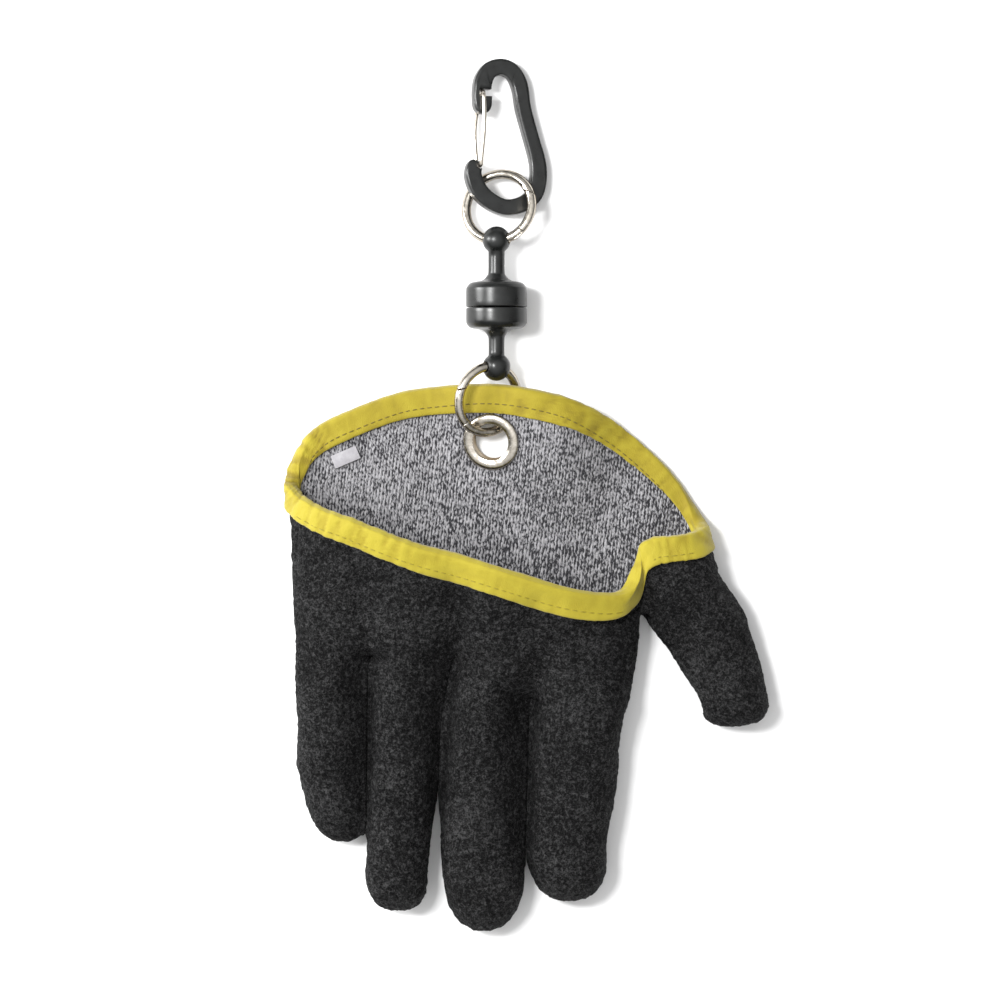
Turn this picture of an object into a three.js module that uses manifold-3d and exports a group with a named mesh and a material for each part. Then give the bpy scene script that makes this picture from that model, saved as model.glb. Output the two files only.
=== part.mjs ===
// Fishing glove with a magnetic release, lying back down on a flat surface.
// Units are millimetres, +Z is up, +X points to the thumb, +Y to the clip.
// Lengths in the tables are shares of the named sizes beside them.
import * as THREE from 'three';
import { mergeVertices } from 'three/addons/utils/BufferGeometryUtils.js';
import Module from 'manifold-3d';

const wasm = await Module();
wasm.setup();

// Glove sizes
const palm_width = 96;
const palm_height = 21.5;
const side_fold_height = 8;
const wall = 1.6;
const mouth_width = 118.5;
const mouth_depth = 59.3;
const mouth_gape = 27;
const knuckle_drop = 62;
const thumb_crotch_drop = 50;
const parting_drop = 6;
const parting_relief = 0.38;
const knuckle_relief = 0.85;
const parting_bow = 4;
const palm_crotch_width = 99;
const longest_finger = 79;
const finger_height = 17.5;
const knuckle_height = 20;
const index_root_drop = 12;
const shared_finger_length = 31;
const finger_gap = 0.5;
const web_height = 10;
const web_underside = 1;
const web_sag = 2.5;
const thumb_length = 36;
const thumb_width = 25;
const thumb_height = 17;
const crotch_at = 0.8;
const left_share = 0.6;
const mouth_overhang = 1.8;
const mouth_floor_drop = 45;
const rim_rest = 0.045;
const underside_flat = 0.3;

// Rim binding sizes
const binding_width = 6.2;
const binding_tape = 0.9;
const cloth_gap = 0.4;
const binding_stack = cloth_gap + binding_tape;

// Size label
const label_length = 7.8;
const label_width = 3.9;
const label_thickness = 0.6;
const label_across = -0.45 * palm_width;
const label_up = -5.4;
const label_turn = 23;
const label_clearance = 0.45;

// Grommet sizes
const grommet_bore_radius = 5.2;
const grommet_rim_width = 3;
const grommet_height = 3.3;
const grommet_across = -1.3;
const grommet_up = -0.8;
const grommet_lift = 4.7;
const grommet_slope_across = 0.28;
const grommet_slope_up = 0.22;
const grommet_barrel_wall = 0.75;
const grommet_seat = 1.3;
const grommet_edge = 0.5;
const cloth_lift_reach = 24;
const cloth_lift_shift = 4;

// Spring rings: ring centres stand a named distance from the piece before them
const ring_wire_radius = 1.3;
const ring_pin_radius = 0.45;
const ring_clearance = 0.25;
const ring_latch_gap = 0.3;
const ring_tongue = 1.9;
const ring_slot = 0.62;
const lower_ring = {
  radius: 9.6, across: -2.4, slope_across: -0.6, slope_up: 0.25, latch: 160, hinge: 236,
};
const upper_ring = {
  radius: 9.9, across: 0.7, slope_across: 0.36, slope_up: -0.25, latch: 25.7, hinge: -54.5,
};
const lower_ring_above_grommet = 11.85;
const ring_to_head = 0.967;

// Magnetic release
const barrel_radius = 8.7;
const seam_gap = 0.3;
const seam_edge = 0.3;
const head_radius = 4;
const neck_flare = 3.2;
const neck_start_gap = 0.15;
const bore_clearance = 0.35;
const upper_half = { barrel: 7.3, neck: 2.35, head_at: 19.2, shoulder: 2.5 };
const lower_half = { barrel: 6, neck: 2.3, head_at: 16.9, shoulder: 2.3 };

// Carabiner
const clip_bar_width = 4.7;
const clip_bar_height = 4;
const clip_length = 44;
const clip_edge = 0.7;
const clip_tilt = 13;
const clip_below_ring = 0.466;
const clip_foot = { across: 0.309, up: 0.693, toward_across: -0.109, toward_up: 0.5 };
const gate_pivot_at = { across: -0.134, up: 0.7295 };
const gate_nose_at = { across: -0.1136, up: 1.207 };
const gate_wire_radius = 0.6;
const gate_notch_height = 2.2;
const gate_clearance = 0.3;
const gate_bend = 0.5;

// Places of the hardware up the line from the grommet to the clip
const lower_ring_up = grommet_up + lower_ring_above_grommet;
const lower_head_up = lower_ring_up + ring_to_head * lower_ring.radius;
const seam_up = lower_head_up + lower_half.head_at;
const upper_head_up = seam_up + upper_half.head_at;
const upper_ring_up = upper_head_up + ring_to_head * upper_ring.radius;
const clip_base = upper_ring_up - clip_below_ring * clip_length;

// Small helpers
const mix = (a, b, t) => a + (b - a) * t;
const clamp = (value, low, high) => Math.min(high, Math.max(low, value));
const ease = (t) => clamp(t, 0, 1) ** 2 * (3 - 2 * clamp(t, 0, 1));
const ease_out = (t) => 1 - (1 - t) ** 2;
const arch = (across, sharpness) => (1 - Math.min(1, Math.abs(across)) ** sharpness) ** (1 / sharpness);
const degrees = (angle) => (angle * Math.PI) / 180;
const point = (x, y, z) => new THREE.Vector3(x, y, z);
const steps = (count) => Array.from({ length: count + 1 }, (unused, index) => index / count);

// Solids for the boolean cuts and joins
function toSolid(geometry) {
  const bare = geometry.index ? geometry.clone() : geometry;
  bare.deleteAttribute('normal');
  bare.deleteAttribute('uv');
  const merged = mergeVertices(bare, 1e-4);
  return new wasm.Manifold(new wasm.Mesh({
    numProp: 3,
    vertProperties: new Float32Array(merged.attributes.position.array),
    triVerts: new Uint32Array(merged.index.array),
  }));
}

function toGeometry(solid) {
  const mesh = solid.getMesh();
  const geometry = new THREE.BufferGeometry();
  const places = new THREE.BufferAttribute(new Float32Array(mesh.vertProperties), 3);
  geometry.setAttribute('position', places);
  geometry.setIndex(new THREE.BufferAttribute(new Uint32Array(mesh.triVerts), 1));
  return geometry;
}

// The main body of a cut piece, without the chips that a grazing cut leaves
function mainBody(solid) {
  return solid.decompose().reduce((best, part) => (part.volume() > best.volume() ? part : best));
}

function meshFromLists(points, faces) {
  const geometry = new THREE.BufferGeometry();
  const places = points.flatMap((p) => [p.x, p.y, p.z]);
  geometry.setAttribute('position', new THREE.Float32BufferAttribute(places, 3));
  geometry.setIndex(faces.flat());
  return geometry;
}

// Palm frame: left edge of the palm and the line of the knuckles
const palm_left = -left_share * palm_width;
const mouth_left = palm_left - mouth_overhang;
const mouth_floor = -mouth_floor_drop;

// Rim of the opening, seen from above, with its height as a share of the gape
const front_rim = [
  { across: 0, up: 0.524, rise: 0.32 },
  { across: 0.034, up: 0.457, rise: 0.5 },
  { across: 0.089, up: 0.399, rise: 0.68 },
  { across: 0.149, up: 0.356, rise: 0.8 },
  { across: 0.243, up: 0.279, rise: 0.92 },
  { across: 0.334, up: 0.216, rise: 0.98 },
  { across: 0.418, up: 0.173, rise: 1 },
  { across: 0.534, up: 0.101, rise: 0.99 },
  { across: 0.654, up: 0.029, rise: 0.91 },
  { across: 0.736, up: 0, rise: 0.81 },
  { across: 0.791, up: 0, rise: 0.72 },
  { across: 0.834, up: 0.04, rise: 0.63 },
  { across: 0.842, up: 0.115, rise: 0.57 },
  { across: 0.838, up: 0.188, rise: 0.56 },
  { across: 0.868, up: 0.255, rise: 0.57 },
  { across: 0.93, up: 0.274, rise: 0.57 },
  { across: 0.978, up: 0.29, rise: 0.49 },
  { across: 1, up: 0.33, rise: 0.3 },
];
const back_rim = [
  { across: 0, up: 0.524, rise: 0.32 },
  { across: 0.004, up: 0.59, rise: 0.15 },
  { across: 0.022, up: 0.702, rise: 0.07 },
  { across: 0.07, up: 0.798, rise: 0.05 },
  { across: 0.144, up: 0.87, rise: rim_rest },
  { across: 0.269, up: 0.962, rise: rim_rest },
  { across: 0.399, up: 0.995, rise: rim_rest },
  { across: 0.5, up: 1, rise: rim_rest },
  { across: 0.599, up: 0.971, rise: rim_rest },
  { across: 0.697, up: 0.913, rise: rim_rest },
  { across: 0.796, up: 0.798, rise: rim_rest },
  { across: 0.863, up: 0.692, rise: 0.05 },
  { across: 0.928, up: 0.567, rise: 0.05 },
  { across: 0.972, up: 0.45, rise: 0.06 },
  { across: 0.991, up: 0.385, rise: 0.12 },
  { across: 1, up: 0.33, rise: 0.3 },
];

function rimCurve(rows) {
  return new THREE.CatmullRomCurve3(
    rows.map((row) => point(
      mouth_left + row.across * mouth_width,
      mouth_floor + row.up * mouth_depth,
      row.rise * mouth_gape,
    )),
    false,
    'centripetal',
  );
}

// Little, ring, middle and index finger: edges and tip as shares of the palm width,
// reach, cap and height as shares of the longest finger and the finger height
const fingers = [
  { left: 0, right: 0.22, mid_left: 0.006, mid_right: 0.216, end_left: 0.027,
    end_right: 0.214, tip: 0.145, reach: 0.675, cap: 0.18, height: 0.88 },
  { left: 0.22, right: 0.475, mid_left: 0.218, mid_right: 0.428, end_left: 0.207,
    end_right: 0.4, tip: 0.306, reach: 0.922, cap: 0.15, height: 0.94 },
  { left: 0.475, right: 0.7, mid_left: 0.43, mid_right: 0.694, end_left: 0.431,
    end_right: 0.682, tip: 0.567, reach: 1, cap: 0.27, height: 1 },
  { left: 0.7, right: 1, mid_left: 0.695, mid_right: 0.964, end_left: 0.69,
    end_right: 0.932, tip: 0.816, reach: 0.884, cap: 0.21, height: 1.02 },
];

// Thumb: centre of each section from the crotch, and its turn in degrees
const thumb_rows = [
  { across: 0.317, down: -0.143, turn: 24.3, width: 1, height: 1 },
  { across: 0.467, down: 0.074, turn: 23.5, width: 1, height: 1.02 },
  { across: 0.59, down: 0.325, turn: 14, width: 0.89, height: 0.98 },
  { across: 0.686, down: 0.545, turn: 6, width: 0.82, height: 0.93 },
  { across: 0.745, down: 0.72, turn: 3, width: 0.78, height: 0.88 },
];
const thumb_tip = { across: 0.742, down: 0.9 };

// Dents of the front wall: place from the left end of the knuckle line, all by the palm width
const dents = [
  { across: 0.22, up: 0.1, wide: 0.07, long: 0.2, depth: 0.016 },
  { across: 0.47, up: 0.11, wide: 0.08, long: 0.2, depth: 0.02 },
  { across: 0.66, up: -0.1, wide: 0.06, long: 0.12, depth: 0.05 },
  { across: 0.36, up: 0.24, wide: 0.14, long: 0.1, depth: 0.012 },
  { across: 0.8, up: 0.04, wide: 0.1, long: 0.12, depth: -0.012 },
];

// Cells of the glove surface
const finger_front_cells = 4;
const finger_back_cells = 3;
const thumb_front_cells = 4;
const thumb_back_cells = 3;
const side_cells = 2;
const mouth_rows = 6;
const palm_rows = 4;
const tip_rows = 4;
const palm_corner = 0.03;
const thumb_corner = 0.14;
const finger_corner = 0.1;
const rim_rows = 2;

// Cells of the round wires
const wire_segments = 5;
const gate_segments = 4;

// Lift of the back wall where the lower ring runs beneath it, never below the level named lowest
function backLift(x, y, lowest) {
  const dx = x - grommet_across;
  const dy = y - grommet_up;
  const slope = grommet_slope_across * dx + grommet_slope_up * dy;
  const plane = grommet_lift - wall / 2 - binding_stack + slope;
  const softness = 0.2;
  const lifted = lowest + (plane - lowest + Math.hypot(plane - lowest, softness)) / 2;
  const flat_radius = grommet_bore_radius + 2 * grommet_rim_width;
  const distance = Math.hypot(dx - cloth_lift_shift, dy) - flat_radius;
  return lifted * (1 - ease(distance / cloth_lift_reach));
}

// Height of the underside: flat in the middle, rising to the fold at the sides
function undersideHeight(side, across) {
  return Math.max(0, side * (1 - arch(across, 6)) - underside_flat * (1 - Math.abs(across)));
}

// A section of a finger, the thumb or the palm between two edge points
function sectionPoint(section, face, share) {
  const across = 2 * share - 1;
  const x = mix(section.left.x, section.right.x, share);
  const y = mix(section.left.y, section.right.y, share);
  const middle = section.middle;
  if (face === 'front') {
    return point(x, y, middle + (section.top - middle) * arch(across, section.top_sharpness ?? 2.2));
  }
  return point(x, y, middle - (middle - section.bottom) * arch(across, section.bottom_sharpness ?? 2.6));
}

// Shares along the fold between front and back, from the front corner round to the back corner
function sideShares(corner) {
  const list = [];
  for (let step = 1; step < side_cells; step += 1) {
    const turn = step / side_cells;
    list.push({ share: corner * (1 - Math.sin(Math.PI * turn)), face: turn <= 0.5 ? 'front' : 'back' });
  }
  return list;
}

class Skin {
  constructor() {
    this.points = [];
    this.faces = [];
    this.rows = [];
  }

  add(position) {
    this.points.push(position);
    return this.points.length - 1;
  }

  // Quads between an upper and a lower ring of equal length, facing out
  join(upper, lower) {
    upper.forEach((from, index) => {
      const next = (index + 1) % upper.length;
      this.faces.push([from, lower[index], lower[next]], [from, lower[next], upper[next]]);
    });
  }

  close(ring, tip) {
    ring.forEach((from, index) => this.faces.push([from, tip, ring[(index + 1) % ring.length]]));
  }
}

// One ring of a finger or the thumb
function tubeRing(skin, section, front_cells, back_cells) {
  const corner = finger_corner;
  const folds = sideShares(corner);
  const front = steps(front_cells).map((t) => ['front', mix(corner, 1 - corner, t)]);
  const right = folds.map((s) => [s.face, 1 - s.share]);
  const back = steps(back_cells).map((t) => ['back', mix(1 - corner, corner, t)]);
  const left = [...folds].reverse().map((s) => [s.face, s.share]);
  const ring = [...front, ...right, ...back, ...left].map(
    ([face, share]) => skin.add(sectionPoint(section, face, share)),
  );
  return ring;
}

// Rounded end of a tube: sections that shrink toward the tip, then one point
function tubeEnd(skin, last, base, tip, front_cells, back_cells) {
  let ring = last;
  for (let step = 1; step <= tip_rows; step += 1) {
    const turn = (step / (tip_rows + 0.6)) * (Math.PI / 2);
    const along = Math.sin(turn) ** 0.85;
    const girth = Math.cos(turn) ** 0.8;
    const centre = base.left.clone().lerp(base.right, 0.5).lerp(tip, along);
    const half = base.right.clone().sub(base.left).multiplyScalar(girth / 2);
    const section = {
      ...base,
      left: centre.clone().sub(half),
      right: centre.clone().add(half),
      top: mix(base.middle, base.top, girth),
      bottom: mix(base.middle * 0.8, base.bottom, girth),
    };
    const next = tubeRing(skin, section, front_cells, back_cells);
    skin.join(ring, next);
    ring = next;
  }
  skin.close(ring, skin.add(point(tip.x, tip.y, base.middle * 0.9)));
}

// Outer surface of the glove
function makeSkin() {
  const skin = new Skin();
  const front_curve = rimCurve(front_rim);
  const back_curve = rimCurve(back_rim);
  const crotch = point(palm_left + palm_crotch_width, -thumb_crotch_drop, 0);
  const left_edge = point(palm_left, -thumb_crotch_drop - parting_drop, 0);
  const thumb_first = thumb_rows[0];
  const thumb_edge = point(
    crotch.x + thumb_first.across * thumb_length + (thumb_width / 2) * Math.cos(degrees(thumb_first.turn)),
    crotch.y - thumb_first.down * thumb_length + (thumb_width / 2) * Math.sin(degrees(thumb_first.turn)),
    0,
  );

  const rimShare = (w) => (w <= 1 ? crotch_at * w : crotch_at + (1 - crotch_at) * (w - 1));
  const partingBow = (share) => parting_bow * Math.sin(Math.PI * share ** 4);

  // Height of the ridges that run on from the fingers into the palm, with valleys between them
  function knuckleRidge(share) {
    const finger = fingers.find((row) => share <= row.right) ?? fingers[3];
    const inside = (2 * (share - finger.left)) / (finger.right - finger.left) - 1;
    const outer_edge = (finger === fingers[0] && inside < 0) || (finger === fingers[3] && inside > 0);
    const valley = outer_edge ? side_fold_height : web_height + 2;
    return valley + (knuckle_height * finger.height - valley) * arch(inside, 2.2);
  }

  // Where the upper tube parts into palm and thumb, w runs 0 to 1 over the palm, to 2 over the thumb
  function partingPoint(face, w) {
    const over_palm = w <= 1;
    const share = over_palm ? w : w - 1;
    const from = over_palm ? left_edge : crotch;
    const to = over_palm ? crotch : thumb_edge;
    const across = 2 * share - 1;
    const crown = over_palm ? palm_height : thumb_height;
    const toward_web = over_palm ? share : 1 - share;
    const x = mix(from.x, to.x, share);
    const y = mix(from.y, to.y, share) - (over_palm ? partingBow(share) : 0);
    if (face === 'front') {
      const base = mix(side_fold_height, web_height, toward_web);
      const smooth = base + (crown - base) * arch(across, 2.4);
      return point(x, y, over_palm ? mix(smooth, knuckleRidge(share), parting_relief) : smooth);
    }
    return point(x, y, undersideHeight(mix(side_fold_height, web_underside, toward_web), across));
  }

  function upperPoint(face, w, row) {
    const curve = face === 'front' ? front_curve : back_curve;
    const rim = curve.getPointAt(clamp(rimShare(w), 0, 1));
    const end = partingPoint(face, w);
    const length = Math.hypot(rim.x - end.x, rim.y - end.y);
    const band = binding_width / length;
    const below_band = (row - rim_rows) / (mouth_rows - rim_rows);
    const t = row <= rim_rows ? (band * row) / rim_rows : mix(band, 1, below_band);
    const position = rim.clone().lerp(end, t);
    if (face === 'back') {
      const depth = t * length;
      const rest = binding_stack * (1 - ease((depth - 3 * binding_width) / (2 * binding_width)));
      const flat = Math.max(0, position.z - mix(rim_rest * mouth_gape, 0, t));
      const lowest = -rest * ease((depth - binding_width) / binding_width);
      position.z = flat + rest + backLift(position.x, position.y, lowest);
    }
    return position;
  }

  // Column stations of the palm, with the finger boundaries on columns
  function palmShares(cells, corner) {
    const list = [];
    fingers.forEach((finger, index) => {
      steps(cells).forEach((t) => {
        if (index === 0 || t > 0) list.push(mix(finger.left, finger.right, t));
      });
    });
    list[0] = corner;
    return list;
  }

  const front_palm = palmShares(finger_front_cells, palm_corner);
  const back_palm = palmShares(finger_back_cells, palm_corner);
  const front_thumb = steps(thumb_front_cells).slice(1).map((t) => 1 + t * (1 - thumb_corner));
  const back_thumb = steps(thumb_back_cells).slice(1).map((t) => 1 + t * (1 - thumb_corner));
  const front_w = [...front_palm, ...front_thumb];
  const back_w = [...back_palm, ...back_thumb];
  const sides = sideShares(palm_corner);
  const thumb_sides = sideShares(thumb_corner);

  let upper = null;
  for (let row = 0; row <= mouth_rows; row += 1) {
    const ring = [];
    front_w.forEach((w) => ring.push(skin.add(upperPoint('front', w, row))));
    thumb_sides.forEach((s) => ring.push(skin.add(upperPoint(s.face, 2 - s.share, row))));
    [...back_w].reverse().forEach((w) => ring.push(skin.add(upperPoint('back', w, row))));
    [...sides].reverse().forEach((s) => ring.push(skin.add(upperPoint(s.face, s.share, row))));
    skin.rows.push(ring);
    if (upper) skin.join(upper, ring);
    upper = ring;
  }

  // Where the last ring of the upper tube is cut in two
  const front_count = front_w.length;
  const back_count = back_w.length;
  const crotch_front = front_palm.length - 1;
  const side_count = sides.length;
  const back_start = front_count + side_count;
  const crotch_back = back_start + (back_count - back_palm.length);
  function webPoints(front_index, back_index) {
    const top = skin.points[front_index];
    const bottom = skin.points[back_index];
    const list = [];
    for (let step = 1; step < side_cells; step += 1) {
      const middle = top.clone().lerp(bottom, step / side_cells);
      middle.y += web_sag * Math.sin((Math.PI * step) / side_cells);
      list.push(skin.add(middle));
    }
    return list;
  }
  const thumb_web = webPoints(upper[crotch_front], upper[crotch_back]);
  const left_side = upper.slice(back_start + back_count);
  const palm_top = [
    ...upper.slice(0, crotch_front + 1),
    ...thumb_web,
    ...upper.slice(crotch_back, back_start + back_count),
    ...left_side,
  ];
  const thumb_top = [
    ...upper.slice(crotch_front, crotch_back + 1),
    ...[...thumb_web].reverse(),
  ];

  // Palm from the parting down to the knuckles
  function knuckleDrop(share) {
    return index_root_drop * ease((share - 0.475) / 0.225);
  }
  function palmPoint(face, share, down) {
    const crown = mix(palm_height, knuckle_height, down);
    const x = mix(palm_left, palm_left + mix(palm_crotch_width, palm_width, down), share);
    const knuckle_y = -knuckle_drop - knuckleDrop(share);
    const parting_y = -thumb_crotch_drop - parting_drop * (1 - share) - partingBow(share);
    const y = mix(parting_y, knuckle_y, down);
    const across = 2 * share - 1;
    if (face === 'back') {
      return point(x, y, undersideHeight(side_fold_height, across));
    }
    const smooth = side_fold_height + (crown - side_fold_height) * arch(across, 2.4);
    const relief = mix(parting_relief, knuckle_relief, ease(down));
    return point(x, y, mix(smooth, knuckleRidge(share), relief));
  }
  let palm_ring = palm_top;
  for (let row = 1; row <= palm_rows; row += 1) {
    const down = row / palm_rows;
    const shares = (list) => [...list.slice(0, -1), 1 - palm_corner];
    const ring = [];
    shares(front_palm).forEach((share) => ring.push(skin.add(palmPoint('front', share, down))));
    sides.forEach((s) => ring.push(skin.add(palmPoint(s.face, 1 - s.share, down))));
    shares(back_palm).reverse().forEach((share) => ring.push(skin.add(palmPoint('back', share, down))));
    [...sides].reverse().forEach((s) => ring.push(skin.add(palmPoint(s.face, s.share, down))));
    skin.join(palm_ring, ring);
    palm_ring = ring;
  }

  // Four fingers from the knuckle ring
  const palm_front_count = front_palm.length;
  const palm_back_start = palm_front_count + side_count;
  const palm_back_count = back_palm.length;
  const frontAt = (index) => palm_ring[index];
  const backAt = (index) => palm_ring[palm_back_start + palm_back_count - 1 - index];
  const right_side = palm_ring.slice(palm_front_count, palm_back_start);
  const palm_left_side = palm_ring.slice(palm_back_start + palm_back_count);
  const webs = [1, 2, 3].map((index) => webPoints(
    frontAt(index * finger_front_cells),
    backAt(index * finger_back_cells),
  ));
  const shared_shares = [0.08, 0.28, 0.52, 0.76, 1];
  const own_shares = [0.35, 0.7, 1];
  fingers.forEach((finger, index) => {
    const first_front = index * finger_front_cells;
    const first_back = index * finger_back_cells;
    const root_front = steps(finger_front_cells).map((unused, cell) => frontAt(first_front + cell));
    const root_back = steps(finger_back_cells).map((unused, cell) => backAt(first_back + cell));
    const right = index < 3 ? webs[index] : right_side;
    const left = index > 0 ? [...webs[index - 1]].reverse() : palm_left_side;
    let ring = [...root_front, ...right, ...root_back.reverse(), ...left];
    const height = finger_height * finger.height;
    const tip_y = -knuckle_drop - longest_finger * finger.reach;
    const end_y = tip_y + longest_finger * finger.cap;
    const shared_y = -knuckle_drop - shared_finger_length;
    const gap_share = finger_gap / 2 / palm_width;
    const edge = (share, y) => point(palm_left + share * palm_width, y, 0);
    function fingerSection(left_share, left_y, right_share, right_y, along) {
      const inset_left = index > 0 ? gap_share : 0;
      const inset_right = index < 3 ? gap_share : 0;
      const top = mix(knuckle_height * finger.height, height * 0.94, ease_out(along));
      return {
        left: edge(left_share + inset_left, left_y),
        right: edge(right_share - inset_right, right_y),
        top,
        middle: top * 0.45,
        bottom: 0,
      };
    }
    let section = null;
    shared_shares.forEach((share) => {
      const left_root = -knuckle_drop - knuckleDrop(finger.left);
      const right_root = -knuckle_drop - knuckleDrop(finger.right);
      section = fingerSection(
        mix(finger.left, finger.mid_left, ease_out(share)),
        mix(left_root, shared_y, share),
        mix(finger.right, finger.mid_right, ease_out(share)),
        mix(right_root, shared_y, share),
        share * 0.5,
      );
      const next = tubeRing(skin, section, finger_front_cells, finger_back_cells);
      skin.join(ring, next);
      ring = next;
    });
    own_shares.forEach((share) => {
      const y = mix(shared_y, end_y, share);
      section = fingerSection(
        mix(finger.mid_left, finger.end_left, share),
        y,
        mix(finger.mid_right, finger.end_right, share),
        y,
        0.5 + share * 0.5,
      );
      const next = tubeRing(skin, section, finger_front_cells, finger_back_cells);
      skin.join(ring, next);
      ring = next;
    });
    tubeEnd(skin, ring, section, edge(finger.tip, tip_y), finger_front_cells, finger_back_cells);
  });

  // Thumb
  let thumb_ring = thumb_top;
  let thumb_section = null;
  thumb_rows.slice(1).forEach((row) => {
    const centre = point(crotch.x + row.across * thumb_length, crotch.y - row.down * thumb_length, 0);
    const half = (row.width * thumb_width) / 2;
    const turn = degrees(row.turn);
    const arm = point(Math.cos(turn) * half, Math.sin(turn) * half, 0);
    const top = thumb_height * row.height;
    thumb_section = {
      left: centre.clone().sub(arm),
      right: centre.clone().add(arm),
      top,
      middle: top * 0.45,
      bottom: 0,
    };
    const next = tubeRing(skin, thumb_section, thumb_front_cells, thumb_back_cells);
    skin.join(thumb_ring, next);
    thumb_ring = next;
  });
  const tip = point(crotch.x + thumb_tip.across * thumb_length, crotch.y - thumb_tip.down * thumb_length, 0);
  tubeEnd(skin, thumb_ring, thumb_section, tip, thumb_front_cells, thumb_back_cells);

  dentFront(skin.points);
  return skin;
}

// Soft dents of the upper wall, stronger the higher the wall stands
function dentFront(points) {
  points.forEach((p) => {
    const share = ease((p.z - 6) / 8);
    dents.forEach((dent) => {
      const dx = (p.x - palm_left - dent.across * palm_width) / (dent.wide * palm_width);
      const dy = (p.y + knuckle_drop - dent.up * palm_width) / (dent.long * palm_width);
      p.z -= share * dent.depth * palm_width * Math.exp(-dx * dx - dy * dy);
    });
  });
}

// Unit normals at the points of a surface
function pointNormals(points, faces) {
  const normals = points.map(() => point(0, 0, 0));
  faces.forEach(([a, b, c]) => {
    const across = points[b].clone().sub(points[a]);
    const normal = across.cross(points[c].clone().sub(points[a]));
    [a, b, c].forEach((index) => normals[index].add(normal));
  });
  return normals.map((normal) => normal.normalize());
}

// Glove wall: the outer surface, an inner one a wall's thickness in, and the raw edge at the rim,
// or the space around that wall when both faces are moved out by a margin
function gloveShell(skin, normals, margin = 0) {
  const count = skin.points.length;
  const outer = skin.points.map((p, index) => p.clone().addScaledVector(normals[index], margin));
  const inner = skin.points.map((p, index) => p.clone().addScaledVector(normals[index], -wall - margin));
  const faces = [...skin.faces];
  skin.faces.forEach(([a, b, c]) => faces.push([a + count, c + count, b + count]));
  const rim = skin.rows[0];
  rim.forEach((from, index) => {
    const next = rim[(index + 1) % rim.length];
    faces.push([from, next, next + count], [from, next + count, from + count]);
  });
  return meshFromLists([...outer, ...inner], faces);
}

// Grommet frame: its centre, and a turn that lays its axis square to the lifted cloth
const grommet_centre = point(grommet_across, grommet_up, grommet_lift);
function slopeTurn(slope_across, slope_up) {
  const normal = point(-slope_across, -slope_up, 1).normalize();
  const side = point(1, 0, slope_across).normalize();
  const upward = normal.clone().cross(side);
  return new THREE.Matrix4().makeBasis(side, upward, normal);
}
const grommet_turn = slopeTurn(grommet_slope_across, grommet_slope_up);

// Surface of turn from a closed outline of radius and height pairs, about the local Z axis
function turned(outline, segments) {
  const closed = [...outline, outline[0]].map(([radius, height]) => new THREE.Vector2(radius, height));
  const geometry = new THREE.LatheGeometry(closed, segments);
  geometry.rotateX(Math.PI / 2);
  return toSolid(geometry);
}

function roundBar(radius, length, segments = 16) {
  const geometry = new THREE.CylinderGeometry(radius, radius, length, segments);
  geometry.rotateX(Math.PI / 2);
  return geometry;
}

function cutGrommetHole(shell) {
  const hole_radius = grommet_bore_radius + grommet_barrel_wall + cloth_gap;
  const cutter = roundBar(hole_radius, 4 * grommet_height, 24);
  cutter.applyMatrix4(grommet_turn);
  cutter.translate(grommet_centre.x, grommet_centre.y, grommet_centre.z);
  return toGeometry(toSolid(shell).subtract(toSolid(cutter)));
}

// Eyelet: a rolled face above the cloth and a flat washer beneath, joined by the barrel
function makeGrommet() {
  const inner = grommet_bore_radius;
  const outer = inner + grommet_rim_width;
  const barrel = inner + grommet_barrel_wall;
  const seat = grommet_seat;
  const half = grommet_height / 2;
  const roll_middle = (inner + outer) / 2;
  const roll_steps = 5;
  const roll = [];
  for (let step = 0; step <= roll_steps; step += 1) {
    const turn = (Math.PI * step) / roll_steps;
    const radius = roll_middle + (grommet_rim_width / 2) * Math.cos(turn);
    roll.push([radius, seat + (half / 2) * Math.sin(turn)]);
  }
  return turned([
    [barrel, -seat],
    [barrel, seat],
    ...roll,
    [inner, -half + grommet_edge],
    [inner + grommet_edge, -half],
    [outer - grommet_edge / 2, -half],
    [outer, (-seat - half) / 2],
    [outer - grommet_edge / 4, -seat],
  ], 26);
}

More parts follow.
